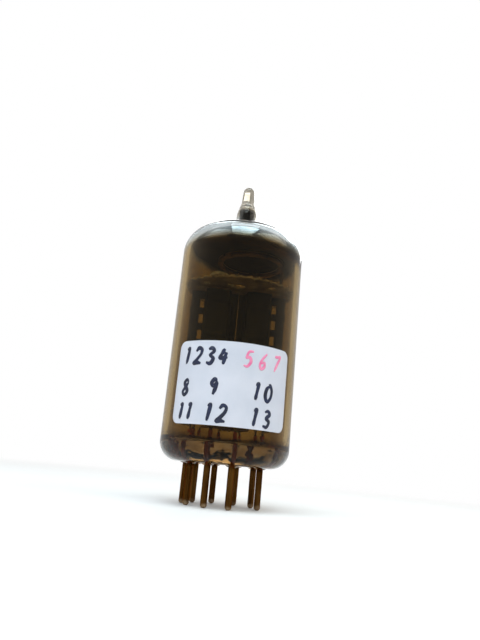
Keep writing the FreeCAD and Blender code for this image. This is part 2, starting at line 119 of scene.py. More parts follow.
def piece(name, parts, smooth=True):
    """One mesh object at the origin from a list of (points in mm, faces) pairs."""
    points, faces, base = [], [], 0
    for p, f in parts:
        points.append(np.asarray(p, float))
        faces += [[i + base for i in face] for face in f]
        base += len(p)
    mesh = bpy.data.meshes.new(name)
    mesh.from_pydata((np.concatenate(points) * MM).tolist(), [], faces)
    mesh.polygons.foreach_set("use_smooth", [smooth] * len(mesh.polygons))
    mesh.update()
    made = bpy.data.objects.new(name, mesh)
    bpy.context.collection.objects.link(made)
    return made


# Round the wires the glass is drawn into beads: a rise that falls off smoothly from the pin's edge.
PIN_CIRCLE = 5.945
pin_angles = np.radians(85.2 + 36.0 * np.arange(9))
pin_places = np.stack([PIN_CIRCLE * np.sin(pin_angles), -PIN_CIRCLE * np.cos(pin_angles)], 1)


def beads(points, inner_r, outer_r, height):
    """Adds to z a smooth step of the distance to the nearest pin: full height at inner_r, none at outer_r."""
    d = np.linalg.norm(points[:, None, :2] - pin_places[None], axis=2).min(1)
    t = np.clip((outer_r - d) / (outer_r - inner_r), 0, 1)
    points[:, 2] += height * t * t * (3 - 2 * t)
    return points


def dome(inset, r_stop, n):
    """Shoulder arc and crown arc of the dome, moved in by the inset, up to radius r_stop."""
    centre_r = GLASS_R - SHOULDER_R
    rise = math.sqrt((CROWN_R - SHOULDER_R) ** 2 - centre_r ** 2)
    meet = math.degrees(math.atan2(rise, centre_r))
    crown = CROWN_R - inset
    stop = math.degrees(math.acos(r_stop / crown))
    return join(bow(centre_r, SHOULDER_Z, SHOULDER_R - inset, 0, meet, n),
                bow(0, SHOULDER_Z - rise, crown, meet, stop, n))


outer_dome = dome(0, 3.4, 18)
root = outer_dome[-1]
tip = join(bow_through(root, (2.32, root[1] + 0.5), (1.93, root[1] + 1.6), 10),
           run((1.93, root[1] + 1.6), (1.82, 49.9), 5), bow_through((1.82, 49.9), (1.55, 51.0), (1.18, 52.2), 9),
           run((1.18, 52.2), (TIP_R, TIP_TOP - TIP_R), 8), bow(0, TIP_TOP - TIP_R, TIP_R, 0, 90, 10))
tip[-1, 0] = 0
flat_r, side_low = GLASS_R - FOOT_ROUND, SEAT + FOOT_ROUND
outside = join(run((0, SEAT), (flat_r, SEAT), 62), bow(flat_r, side_low, FOOT_ROUND, -90, 0, 16),
               run((GLASS_R, side_low), (GLASS_R, SHOULDER_Z), 40), outer_dome, tip)
inner_dome = dome(WALL, 2.2, 16)
throat_root = inner_dome[-1]
throat = join(bow_through(throat_root, (1.62, throat_root[1] + 0.5), (1.38, throat_root[1] + 1.5), 8),
              run((1.38, throat_root[1] + 1.5), (1.30, 50.4), 8),
              bow_through((1.30, 50.4), (1.02, 51.3), (0.42, 51.9), 7), [(0, 52.0)])
throat[-1, 0] = 0
flat_r, side_low = INNER_R - FILLET, BUTTON_TOP + FILLET
inside = join(run((0, BUTTON_TOP), (flat_r, BUTTON_TOP), 70), bow(flat_r, side_low, FILLET, -90, 0, 8),
              run((INNER_R, side_low), (INNER_R, SHOULDER_Z), 34), inner_dome, throat)

STEPS = 288
outer_skin, outer_faces = turned(outside, STEPS)
inner_skin, inner_faces = turned(inside, STEPS, flip=True)
flat = np.abs(outer_skin[:, 2] - SEAT) < 1e-6
outer_skin[flat] = beads(outer_skin[flat], inner_r=0.56, outer_r=1.15, height=-0.23)
flat = np.abs(inner_skin[:, 2] - BUTTON_TOP) < 1e-6
inner_skin[flat] = beads(inner_skin[flat], inner_r=0.42, outer_r=1.15, height=0.66)

# Blown glass is never quite round: the wall wanders by a few hundredths of a millimetre, always inwards.
for skin, most in ((outer_skin, 0.035), (inner_skin, 0.05)):
    angle, z = np.arctan2(skin[:, 1], skin[:, 0]), skin[:, 2]
    wave = 0.5 + 0.25 * np.sin(2 * angle + z * 0.21) + 0.25 * np.sin(3 * angle - z * 0.13 + 1.1)
    share = np.clip((z - 11) / 6, 0, 1) * np.clip((46 - z) / 6, 0, 1) * most * wave
    skin[:, :2] *= (1 - share / GLASS_R)[:, None]

glass = piece("glass_envelope", [(outer_skin, outer_faces), (inner_skin, inner_faces)])


def socket(group, name, kind, way, value=None):
    made = group.interface.new_socket(name=name, in_out=way, socket_type=kind)
    if value is not None:
        made.default_value = value


def mottle_group():
    """Cloudy change over a surface: noise on Object coordinates, spread between Low and High."""
    g = bpy.data.node_groups.new("mottle", "ShaderNodeTree")
    socket(g, "Scale", "NodeSocketFloat", "INPUT", 500.0)
    socket(g, "Detail", "NodeSocketFloat", "INPUT", 4.0)
    socket(g, "Low", "NodeSocketFloat", "INPUT", 0.35)
    socket(g, "High", "NodeSocketFloat", "INPUT", 0.65)
    socket(g, "Stretch", "NodeSocketVector", "INPUT", (1.0, 1.0, 1.0))
    socket(g, "Value", "NodeSocketFloat", "OUTPUT")
    n, link = g.nodes, g.links.new
    into, out = n.new("NodeGroupInput"), n.new("NodeGroupOutput")
    place, scale, noise, spread = (n.new("ShaderNode" + k)
                                   for k in ("TexCoord", "VectorMath", "TexNoise", "MapRange"))
    scale.operation = "MULTIPLY"
    link(place.outputs["Object"], scale.inputs[0])
    link(into.outputs["Stretch"], scale.inputs[1])
    link(scale.outputs[0], noise.inputs["Vector"])
    link(into.outputs["Scale"], noise.inputs["Scale"])
    link(into.outputs["Detail"], noise.inputs["Detail"])
    link(noise.outputs["Fac"], spread.inputs["Value"])
    link(into.outputs["Low"], spread.inputs["From Min"])
    link(into.outputs["High"], spread.inputs["From Max"])
    link(spread.outputs["Result"], out.inputs["Value"])
    return g


mottle = mottle_group()


class Finish:
    """A material with its Principled shader, and short words for the nodes that feed it."""

    def __init__(self, name, **plain):
        self.material = bpy.data.materials.new(name)
        self.material.use_nodes = True
        self.tree = self.material.node_tree
        self.shader = self.tree.nodes["Principled BSDF"]
        for key, value in plain.items():
            self.shader.inputs[key.replace("_", " ")].default_value = value

    def node(self, kind, **settings):
        made = self.tree.nodes.new("ShaderNode" + kind)
        for key, value in settings.items():
            setattr(made, key, value)
        return made

    def link(self, a, b):
        self.tree.links.new(a, b)

    def clouds(self, scale, low=0.35, high=0.65, detail=4.0, stretch=(1, 1, 1)):
        made = self.node("Group")
        made.node_tree = mottle
        for key, value in zip(("Scale", "Low", "High", "Detail", "Stretch"), (scale, low, high, detail, stretch)):
            made.inputs[key].default_value = value
        return made.outputs["Value"]

    def blend(self, mask, a, b):
        """Colour a where the mask is 0 and b where it is 1; either may be a socket."""
        made = self.node("Mix", data_type="RGBA")
        self.link(mask, made.inputs["Factor"])
        for key, value in ((6, a), (7, b)):
            if hasattr(value, "default_value"):
                self.link(value, made.inputs[key])
            else:
                made.inputs[key].default_value = (*value, 1)
        return made.outputs[2]

    def between(self, mask, a, b):
        """Number from a to b as the mask goes from 0 to 1."""
        made = self.node("MapRange")
        made.inputs["To Min"].default_value = a
        made.inputs["To Max"].default_value = b
        self.link(mask, made.inputs["Value"])
        return made.outputs["Result"]

    def bump(self, height, distance, strength=0.5):
        made = self.node("Bump")
        made.inputs["Strength"].default_value = strength
        made.inputs["Distance"].default_value = distance
        self.link(height, made.inputs["Height"])
        self.link(made.outputs["Normal"], self.shader.inputs["Normal"])

    def feed(self, key, value):
        self.link(value, self.shader.inputs[key])

    def cover(self, thing):
        thing.data.materials.clear()
        thing.data.materials.append(self.material)


def edge_fade_group():
    """Mask from 0 at height Low to 1 at High, after Tilt times x and Wander times noise are added to the height."""
    g = bpy.data.node_groups.new("edge_fade", "ShaderNodeTree")
    for name, value in (("Low", 0.0), ("High", 0.01), ("Wander", 0.001), ("Scale", 200.0), ("Tilt", 0.0)):
        socket(g, name, "NodeSocketFloat", "INPUT", value)
    socket(g, "Mask", "NodeSocketFloat", "OUTPUT")
    n, link = g.nodes, g.links.new
    into, out = n.new("NodeGroupInput"), n.new("NodeGroupOutput")
    place, split, noise = n.new("ShaderNodeTexCoord"), n.new("ShaderNodeSeparateXYZ"), n.new("ShaderNodeTexNoise")
    shift, add, lean, spread = (n.new("ShaderNode" + k) for k in ("Math", "Math", "Math", "MapRange"))
    shift.operation, add.operation, lean.operation = "MULTIPLY", "ADD", "MULTIPLY_ADD"
    spread.interpolation_type = "SMOOTHSTEP"
    link(place.outputs["Object"], split.inputs[0])
    link(place.outputs["Object"], noise.inputs["Vector"])
    link(into.outputs["Scale"], noise.inputs["Scale"])
    link(noise.outputs["Fac"], shift.inputs[0])
    link(into.outputs["Wander"], shift.inputs[1])
    link(split.outputs["X"], lean.inputs[0])
    link(into.outputs["Tilt"], lean.inputs[1])
    link(split.outputs["Z"], lean.inputs[2])
    link(shift.outputs[0], add.inputs[0])
    link(lean.outputs[0], add.inputs[1])
    link(add.outputs[0], spread.inputs["Value"])
    link(into.outputs["Low"], spread.inputs["From Min"])
    link(into.outputs["High"], spread.inputs["From Max"])
    link(spread.outputs["Result"], out.inputs["Mask"])
    return g


edge_fade = edge_fade_group()


def fade(finish, low, high, wander, scale, tilt=0.0):
    """The edge_fade group placed in a finish; heights and wander in millimetres."""
    made = finish.node("Group")
    made.node_tree = edge_fade
    for key, value in (("Low", low * MM), ("High", high * MM), ("Wander", wander * MM),
                       ("Scale", scale), ("Tilt", tilt)):
        made.inputs[key].default_value = value
    return made.outputs["Mask"]


# The specular tint dims every reflection on the glass: painted shade standing for a darker room than this white one.
soft_glass = Finish("soft_glass", Transmission_Weight=1.0, IOR=1.5, Specular_Tint=(0.28, 0.27, 0.24, 1.0))
foot_tint = soft_glass.blend(soft_glass.clouds(420, 0.3, 0.7),
                             (0.03, 0.014, 0.004), (0.17, 0.09, 0.028))
wall_tint = soft_glass.blend(soft_glass.clouds(160, 0.3, 0.7, stretch=(1, 1, 0.4)),
                             (0.20, 0.13, 0.038), (0.36, 0.25, 0.10))
# Dome tint: its blue-grey is a painted reflection of a cool window, laid over the glass.
dome_tint_window_blue = soft_glass.blend(soft_glass.clouds(160), (0.40, 0.45, 0.465), (0.60, 0.67, 0.69))
tip_tint = soft_glass.blend(soft_glass.clouds(700, 0.35, 0.65),
                            (0.20, 0.18, 0.14), (0.46, 0.43, 0.37))
top_tint = soft_glass.blend(fade(soft_glass, 48.6, 50.2, 1.0, 500), dome_tint_window_blue, tip_tint)
low_tint = soft_glass.blend(fade(soft_glass, 10.2, 12.6, 2.6, 170), foot_tint, wall_tint)
soft_glass.feed("Base Color", soft_glass.blend(fade(soft_glass, 41.6, 44.4, 1.2, 150), low_tint, top_tint))
soft_glass.feed("Roughness", soft_glass.between(soft_glass.clouds(420, 0.5, 0.8), 0.0, 0.04))
swirl = soft_glass.clouds(330, 0.2, 0.8, 2.0, (1, 1, 1.7))
drawn = soft_glass.between(soft_glass.clouds(90, 0.2, 0.8, 1.0, (1, 1, 0.3)), 0.42, 0.56)
soft_glass.bump(soft_glass.blend(fade(soft_glass, 10.4, 13.6, 2.0, 150), swirl, drawn), 0.00025, 0.35)
shade = soft_glass.node("LightPath")
soft_glass.feed("Alpha", soft_glass.between(shade.outputs["Is Shadow Ray"], 1.0, 0.06))
soft_glass.cover(glass)
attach(glass, "root")
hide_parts("glass_bulb", "button_stem")

# Getter flash: a mirror of barium metal, fired from the ring onto the inside of the dome.
# It is silvery through the glass, its silver dimmed and blued as a painted reflection of a dark room with a cool
# window, and sooty on its inner face;
# in the tip's throat it is black, painted shade of the narrow recess. It thins out to a smoky brown fringe round the
# shoulder, lower on the ring's side.

FLASH_LOW, FILM_STEPS = 37.2, 192
up_throat = throat[throat[:, 1] < 51.3]
film_out = join(run((9.385, FLASH_LOW), (9.385, SHOULDER_Z), 12), dome(1.015, 2.25, 18), up_throat - (0.015, 0))
film_in = join(run((9.34, FLASH_LOW), (9.34, SHOULDER_Z), 12), dome(1.06, 2.3, 18), up_throat[1:] - (0.055, 0))
flash = piece("getter_flash_film", [hoop(np.concatenate([film_out, film_in[::-1]]), FILM_STEPS)])


def thin_out(finish):
    """Film's thickness as alpha: it fades in at the shoulder, lower on the ring's side, and ends in the throat."""
    fringe = fade(finish, 41.0, 42.9, 1.6, 210, 0.12)
    upper_edge = fade(finish, 50.5, 51.3, 0.5, 400)
    keep = finish.node("Math", operation="SUBTRACT", use_clamp=True)
    finish.link(fringe, keep.inputs[0])
    finish.link(upper_edge, keep.inputs[1])
    finish.feed("Alpha", keep.outputs[0])


barium = Finish("barium_mirror", Metallic=1.0)
# The barium is silvery; the blue cast and low level of this silver are a painted reflection of a dark room with a
# cool window.
barium_silver_and_window_blue = barium.blend(fade(barium, 41.6, 43.4, 1.0, 160),
                      barium.blend(barium.clouds(260, 0.3, 0.7), (0.036, 0.024, 0.008), (0.075, 0.053, 0.022)),
                      barium.blend(barium.clouds(300, 0.3, 0.7), (0.27, 0.295, 0.315), (0.44, 0.475, 0.50)))
# Black in the tip's throat: painted shade of the narrow recess.
with_throat_shade = barium.blend(fade(barium, 46.9, 47.9, 0.5, 300), barium_silver_and_window_blue, (0.006, 0.006, 0.007))
barium.feed("Base Color", barium.blend(fade(barium, 41.2, 43.0, 2.0, 230, 0.1), (0.13, 0.07, 0.012), with_throat_shade))
barium.feed("Roughness", barium.between(barium.clouds(900, 0.4, 0.7), 0.06, 0.18))
thin_out(barium)
barium.cover(flash)
soot = Finish("barium_inside", Specular_IOR_Level=0.2)
soot.feed("Base Color", soot.blend(soot.clouds(260, 0.3, 0.7), (0.020, 0.013, 0.003), (0.055, 0.038, 0.010)))
soot.feed("Roughness", soot.between(soot.clouds(900, 0.4, 0.7), 0.35, 0.55))
thin_out(soot)
flash.data.materials.append(soot.material)
within = np.arange(len(flash.data.polygons)) >= (len(film_out) - 1) * FILM_STEPS
flash.data.polygons.foreach_set("material_index", within.astype(np.int32))
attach(flash, "root")
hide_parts("getter_flash")

# Base pins: nine hard drawn nickel-iron pins with rounded ends, set in the glass beads.
# Handling and heat have turned them brownish; the ends are lighter, partly rubbed bright by sockets and partly a
# painted highlight on the rounded tips.

PIN_R, PIN_TOP, PIN_END = 0.508, 6.2, 0.45
pin_profile = join([(0, 0)], bow(PIN_R - PIN_END, PIN_END, PIN_END, -90, 0, 10),
                   run((PIN_R, PIN_END), (PIN_R, 6.12), 12), run((PIN_R, 6.12), (0.47, PIN_TOP), 2), [(0, PIN_TOP)])
pin_points, pin_faces = turned(pin_profile, 40)
pin_metal = Finish("tarnished_nickel", Metallic=1.0, Specular_Tint=(0.60, 0.34, 0.18, 1.0))
# Lighter ends: worn metal together with a painted highlight on the rounded tips.
worn_and_tip_glint = fade(pin_metal, 0.35, 1.3, 0.9, 900)
streaks = pin_metal.clouds(900, 0.3, 0.7, 5.0, (1, 1, 0.15))
pin_metal.feed("Base Color", pin_metal.blend(worn_and_tip_glint, (0.36, 0.26, 0.16),
                                             pin_metal.blend(streaks, (0.034, 0.012, 0.002), (0.105, 0.047, 0.010))))
pin_metal.feed("Roughness", pin_metal.between(streaks, 0.2, 0.4))
pin_metal.bump(pin_metal.clouds(2500, 0.3, 0.7, 3.0, (1, 1, 0.08)), 0.00001, 0.5)
for number, (x, y) in enumerate(pin_places, 1):
    pin = piece("base_pin_%d" % number, [(pin_points + (x, y, 0), pin_faces)])
    pin_metal.cover(pin)
    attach(pin, "root")
    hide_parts("pin_%d" % number)

# Seal wires: copper-sheathed wire through the glass, which wets and grips the red copper.
# The sheath stays red inside the bulb, up to the weld where the lead begins.

SEAL_R, SEAL_LOW, SEAL_END = 0.3, 6.13, 0.12
seal_profile = join([(0, SEAL_LOW)], run((SEAL_R, SEAL_LOW), (SEAL_R, 11.25), 14),
                    bow(SEAL_R - SEAL_END, 11.25, SEAL_END, 0, 90, 5), [(0, 11.25 + SEAL_END)])
seal_points, seal_faces = turned(seal_profile, 24)
copper = Finish("copper_sheath", Metallic=0.4)
clean = copper.blend(copper.clouds(700), (0.80, 0.17, 0.06), (0.98, 0.32, 0.14))
dark_low_part = copper.blend(copper.clouds(700), (0.16, 0.026, 0.012), (0.36, 0.075, 0.03))
# The sheath is darker below about 10 mm and red above.
copper.feed("Base Color", copper.blend(fade(copper, 9.5, 10.2, 0.4, 900), dark_low_part, clean))
copper.feed("Roughness", copper.between(copper.clouds(1200), 0.25, 0.45))
for number, (x, y) in enumerate(pin_places, 1):
    seal = piece("seal_wire_%d_copper" % number, [(seal_points + (x, y, 0), seal_faces)])
    copper.cover(seal)
    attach(seal, "root")
    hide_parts("seal_wire_%d" % number)

# Leads: drawn nickel wire, bent by hand and spot-welded from each seal wire to its electrode.
# They run under the lower mica: anodes, grids and cathodes to the sides, heaters below them.

LOW_MICA, HIGH_MICA, SYSTEM = 13.8, 34.9, 3.45


def bent(points, radius, n=7):
    """Polyline with each corner replaced by a curve of two weights, (1-t)^2, 2t(1-t) and t^2, over the cut corner."""
    p = np.asarray(points, float)
    out = [p[:1]]
    t = np.linspace(0, 1, n)[:, None]
    for a, b, c in zip(p[:-2], p[1:-1], p[2:]):
        before = b - (b - a) / np.linalg.norm(b - a) * radius
        after = b + (c - b) / np.linalg.norm(c - b) * radius
        out.append((1 - t) ** 2 * before + 2 * t * (1 - t) * b + t ** 2 * after)
    out.append(p[-1:])
    return np.concatenate(out)


def wire(path, radius, sides=12, up=(0.3, 0.1, 1.0)):
    """Round tube along a path: a ring of points in the plane square to the path at each step, closed by end caps."""
    path = np.asarray(path, float)
    along = np.gradient(path, axis=0)
    along /= np.linalg.norm(along, axis=1)[:, None]
    u = np.cross(along, up)
    short = np.linalg.norm(u, axis=1) < 0.2
    u[short] = np.cross(along[short], (1.0, 0.2, 0.0))
    for i in range(1, len(u)):
        side = u[i - 1] - along[i] * (u[i - 1] @ along[i])
        u[i] = side
    u /= np.linalg.norm(u, axis=1)[:, None]
    v = np.cross(along, u)
    a = np.arange(sides) * ROUND / sides
    r = np.broadcast_to(np.asarray(radius, float), (len(path),))[:, None, None]
    ring = path[:, None] + r * (u[:, None] * np.cos(a)[None, :, None] + v[:, None] * np.sin(a)[None, :, None])
    n = len(path)
    i, j = np.meshgrid(np.arange(n - 1), np.arange(sides), indexing="ij")
    k = (j + 1) % sides
    quads = np.stack([i * sides + j, i * sides + k, (i + 1) * sides + k, (i + 1) * sides + j], 2).reshape(-1, 4)
    caps = [list(range(sides))[::-1], list(range((n - 1) * sides, n * sides))]
    return ring.reshape(-1, 3), quads.tolist() + caps


def half_turn(points):
    """The other system's copy: x and y change sign."""
    return np.asarray(points, float) * (-1, -1, 1)


nickel = Finish("drawn_nickel", Metallic=1.0)
nickel.feed("Base Color", nickel.blend(nickel.clouds(800), (0.50, 0.46, 0.40), (0.70, 0.67, 0.61)))
nickel.feed("Roughness", nickel.between(nickel.clouds(1500, stretch=(1, 1, 0.2)), 0.2, 0.4))
x, y = pin_places.T
side_z, low_z = LOW_MICA - 0.8, LOW_MICA - 1.7
anode_route = [(x[0], y[0], 11.3), (x[0], y[0], 12.2), (7.4, -0.45, 12.2), (7.4, -0.45, 13.6)]
grid_route = [(x[1], y[1], 11.3), (x[1], y[1], side_z), (4.8, 0.34, side_z)]
cathode_route = [(x[2], y[2], 11.3), (x[2], y[2], side_z), (3.32, 0.74, side_z)]
routes = {1: anode_route, 2: grid_route, 3: cathode_route}
for number, route in routes.items():
    for twin, points in ((number, np.array(route)), (number + 5, half_turn(route))):
        lead = piece("lead_wire_%d" % twin, [wire(bent(points, 0.38), 0.24)])
        nickel.cover(lead)
        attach(lead, "root")
        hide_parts("lead_%d" % twin)
HEATER_LEAD_R = 0.19
for number, side in ((4, 1), (5, -1)):
    at = (x[number - 1], y[number - 1])
    route = [(*at, 11.3), (*at, low_z), (side * SYSTEM, 0.45, low_z)]
    lead = piece("lead_wire_%d" % number, [wire(bent(route, 0.35), HEATER_LEAD_R)])
    nickel.cover(lead)
    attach(lead, "root")
    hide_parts("lead_%d" % number)
rise = bent([(x[8], y[8], 11.3), (x[8], y[8], low_z), (x[8], -0.45, low_z)], 0.35)
bar = run((-3.64, -0.45, low_z), (3.64, -0.45, low_z), 12)
tap = piece("lead_wire_9", [wire(rise, HEATER_LEAD_R), wire(bar, HEATER_LEAD_R)])
nickel.cover(tap)
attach(tap, "root")
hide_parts("lead_9")

# Mica spacers: split mica punched to a toothed disc, sprayed with a whitish insulating coat.
# The CAD discs already carry the teeth, slots and vents, so they only get their finish.

mica = Finish("sprayed_mica", Transmission_Weight=0.25, IOR=1.58)
mica.feed("Base Color", mica.blend(mica.clouds(420, 0.3, 0.7, 6.0), (0.20, 0.17, 0.12), (0.70, 0.64, 0.53)))
mica.feed("Roughness", mica.between(mica.clouds(900), 0.35, 0.65))
mica.bump(mica.clouds(1800, 0.2, 0.8, 6.0), 0.00004, 0.6)
for node in ("mica_top", "mica_bottom"):
    mica.cover(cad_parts[node])


def flakes(level, count, seed):
    """Split edges of the disc: small triangles on a ring near the rim, their corners from seeded random shares."""
    chance = np.random.default_rng(seed)
    a = chance.uniform(0, ROUND, count)
    r = chance.uniform(8.75, 9.25, count)
    z = level + chance.uniform(-0.25, 0.25, count)
    wide, tall = chance.uniform(0.12, 0.4, count), chance.uniform(-0.4, 0.4, count)
    lean = chance.uniform(-0.25, 0.08, count)
    ring = []
    for da, dr, dz in ((-wide / 2, 0, 0), (wide / 2, 0, 0), (wide * 0.2, lean, tall)):
        rr = np.minimum(r + dr, 9.3)
        ring.append(np.stack([rr * np.cos(a + da / 9), rr * np.sin(a + da / 9), z + dz], 1))
    points = np.stack(ring, 1).reshape(-1, 3)
    return points, np.arange(3 * count).reshape(-1, 3).tolist()


for node, level, seed in (("mica_top", HIGH_MICA + 0.15, 5), ("mica_bottom", LOW_MICA + 0.15, 6)):
    splinters = piece(node + "_flakes", [flakes(level, 420, seed)], smooth=False)
    leaf = splinters.modifiers.new("leaf", "SOLIDIFY")
    leaf.thickness, leaf.offset = 0.03 * MM, 0.0
    mica.cover(splinters)
    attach(splinters, "root")

# Anodes: each is two half shells pressed from carbonised nickel sheet, ribbed across the face,
# laid flange to flange and held by crimped ears; windows are punched beside the box.

BOX = (1.15, 5.7496)
FLANGE = (0.04, 8.152)
FACE_Y, FLANGE_Y = 2.25, -0.1
WINDOW_PITCH, WINDOW_HALF = 2.75, 0.8


def shell_section():
    """Middle line of the sheet, from the inner flange's edge round the box to the outer flange's edge."""
    corners = [(FLANGE[0], FLANGE_Y), (BOX[0] + 0.1, FLANGE_Y), (BOX[0] + 0.39, -FACE_Y),
               (BOX[1] - 0.39, -FACE_Y), (BOX[1] - 0.1, FLANGE_Y), (5.96, FLANGE_Y)]
    line = bent([(*c, 0) for c in corners], 0.2, 6)[:, :2]
    flange = [(w, FLANGE_Y) for w in (5.8, 6.1, 6.35, 6.6, 7.1, 7.6, FLANGE[1])]
    line = line[line[:, 0] < 5.79]
    face = np.abs(line[:, 1] + FACE_Y) < 1e-6
    a, b = line[face][0], line[face][-1]
    i = int(np.argmax(face)) + 1
    return np.concatenate([line[:i], run(a, b, 26)[1:-1], line[len(line) - int(np.argmax(face[::-1])) - 1:], flange])


def pressed_shell():
    """Section carried up z; the face is pushed out by a raised cosine at each rib, faded at both ends."""
    section = shell_section()
    z0, z1 = LOW_MICA + 0.31, HIGH_MICA - 0.01
    middle = (z0 + z1) / 2
    window = [middle + (i - 3) * WINDOW_PITCH + s * WINDOW_HALF for i in range(7) for s in (-1, 1)]
    z = np.unique(np.round(np.r_[np.linspace(z0, z1, 90), window], 4))
    z = z[np.r_[True, np.diff(z) > 0.02] | np.isin(z, np.round(window, 4))]
    s, h = np.meshgrid(np.arange(len(section)), np.arange(len(z)), indexing="ij")
    points = np.stack([section[s, 0], section[s, 1], z[h]], 2)
    ribs = z0 + (z1 - z0) * (np.arange(4) + 0.5) / 4
    d = np.abs(points[..., 2][..., None] - ribs).min(-1)
    rise = 0.25 * np.cos(np.clip(d / 0.72, 0, 1) * math.pi / 2) ** 2
    x = points[..., 0]
    x_in = np.clip((x - BOX[0] - 0.5) / 0.5, 0, 1) * np.clip((BOX[1] - 0.5 - x) / 0.5, 0, 1)
    points[..., 1] -= rise * x_in * x_in * (3 - 2 * x_in) * (np.abs(points[..., 1] + FACE_Y) < 0.02)
    n = len(z)
    i, j = np.meshgrid(np.arange(len(section) - 1), np.arange(n - 1), indexing="ij")
    mid_x = (section[:-1, 0] + section[1:, 0])[i] / 2
    mid_z = (z[:-1] + z[1:])[j] / 2
    near = np.abs((mid_z - middle + WINDOW_PITCH / 2) % WINDOW_PITCH - WINDOW_PITCH / 2)
    hole = (mid_x > 5.8) & (mid_x < 6.6) & (section[:, 1][i] > -0.2)
    hole &= (near < WINDOW_HALF) & (np.abs(mid_z - middle) < 9.2)
    quads = np.stack([i * n + j, (i + 1) * n + j, (i + 1) * n + j + 1, i * n + j + 1], 2)[~hole]
    return points.reshape(-1, 3), quads.tolist()


def strip(path, z0, z1, thick):
    """Flat strip on edge: the path moved both ways by half the thickness, between two heights, all sides closed."""
    path = np.asarray(path, float)
    along = np.gradient(path, axis=0)
    across = np.stack([-along[:, 1], along[:, 0]], 1) / np.linalg.norm(along, axis=1)[:, None] * thick / 2
    n = len(path)
    ring = [np.c_[path + s * across, np.full(n, z)] for s, z in ((1, z0), (-1, z0), (-1, z1), (1, z1))]
    faces = []
    for a, b in ((0, 1), (1, 2), (2, 3), (3, 0)):
        i = np.arange(n - 1)
        faces += np.stack([a * n + i, b * n + i, b * n + i + 1, a * n + i + 1], 1).tolist()
    faces += [[0, 3 * n, 2 * n, n], [n - 1, 2 * n - 1, 3 * n - 1, 4 * n - 1]]
    return np.concatenate(ring), [f[::-1] for f in faces]


carbon = Finish("carbonised_nickel", Metallic=0.0, Specular_IOR_Level=0.12)
carbon.feed("Base Color", carbon.blend(carbon.clouds(260, 0.3, 0.7, 6.0),
                                       (0.022, 0.028, 0.028), (0.055, 0.060, 0.055)))
carbon.feed("Roughness", carbon.between(carbon.clouds(1100, 0.3, 0.7), 0.42, 0.62))
carbon.bump(carbon.clouds(5200, 0.2, 0.8, 5.0), 0.00002, 0.5)
shell_points, shell_faces = pressed_shell()
front_flip = [f[::-1] for f in shell_faces]
mirrored = shell_points * (1, -1, 1)
ears, tabs_front, tabs_back = [], [], []
fold = bent([(7.42, 0.27, 0), (8.22, 0.27, 0), (8.22, -0.18, 0)], 0.16)[:, :2]
for i in range(3):
    z_ear = LOW_MICA + 0.3 + (HIGH_MICA - LOW_MICA - 0.3) * (i + 0.5) / 3
    ears.append(strip(fold, z_ear - 0.7, z_ear + 0.7, 0.13))


def tab(centre_x, y, z0, z1):
    """Tab 0.98 wide and 0.18 thick, square to y, between two heights."""
    return strip(run((centre_x - 0.49, y), (centre_x + 0.49, y), 6), z0, z1, 0.18)


for z0, z1 in ((LOW_MICA - 0.42, LOW_MICA + 0.32), (HIGH_MICA - 0.05, HIGH_MICA + 1.38)):
    tabs_front.append(tab(SYSTEM, -FACE_Y, z0, z1))
    tabs_back.append(tab(SYSTEM, FACE_Y, z0, z1))
for z0, z1 in ((LOW_MICA - 1.08, LOW_MICA + 0.32), (HIGH_MICA - 0.05, HIGH_MICA + 1.38)):
    tabs_front.append(tab(7.4, FLANGE_Y, z0, z1))
for system, place in ((2, lambda p: p), (1, half_turn)):
    near, far = ("front", "back") if system == 2 else ("back", "front")
    for half, skin, skin_faces, extras in ((near, shell_points, shell_faces, ears + tabs_front),
                                           (far, mirrored, front_flip, tabs_back)):
        sheet = piece("anode_%d_%s_shell" % (system, half), [(place(skin), skin_faces)])
        wall = sheet.modifiers.new("sheet", "SOLIDIFY")
        wall.thickness, wall.offset, wall.use_even_offset = 0.19 * MM, 0.0, True
        carbon.cover(sheet)
        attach(sheet, "root")
        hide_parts("anode_%d_%s" % (system, half))
        fixings = piece("anode_%d_%s_tabs" % (system, half), [(place(p), f) for p, f in extras], smooth=False)
        carbon.cover(fixings)
        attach(fixings, "root")

# Grids: two copper side rods each, wound with fine wire that is peened into notches in the rods.
# Cathodes are nickel sleeves with a white oxide coat; heaters are folded coated wires inside them.

rod_metal = Finish("copper_rod", Metallic=1.0)
rod_metal.feed("Base Color", rod_metal.blend(rod_metal.clouds(900), (0.55, 0.27, 0.14), (0.72, 0.42, 0.26)))
rod_metal.feed("Roughness", rod_metal.between(rod_metal.clouds(1500), 0.25, 0.4))
fine_wire = Finish("grid_wire", Metallic=1.0)
fine_wire.feed("Base Color", fine_wire.blend(fine_wire.clouds(900), (0.42, 0.40, 0.37), (0.60, 0.57, 0.52)))
fine_wire.feed("Roughness", fine_wire.between(fine_wire.clouds(1500), 0.25, 0.45))
TURNS, EACH = 48, 20
t = np.linspace(0, TURNS, TURNS * EACH + 1)
helix = np.stack([SYSTEM + 1.62 * np.cos(ROUND * t), 1.12 * np.sin(ROUND * t), 15.1 + 18.8 * t / TURNS], 1)
rod_profile = join([(0, 12.5)], run((0.27, 12.5), (0.27, 36.2), 10), [(0, 36.2)])
rod_points, rod_faces = turned(rod_profile, 20)
rods = [(rod_points + (SYSTEM + s * 1.35, 0, 0), rod_faces) for s in (-1, 1)]
for system, place in ((2, lambda p: p), (1, half_turn)):
    pair = piece("grid_%d_rods" % system, [(place(p), f) for p, f in rods])
    rod_metal.cover(pair)
    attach(pair, "root")
    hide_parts("grid_%d" % system)
    winding = piece("grid_%d_winding" % system, [wire(place(helix), 0.035, 4)])
    fine_wire.cover(winding)
    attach(winding, "root")

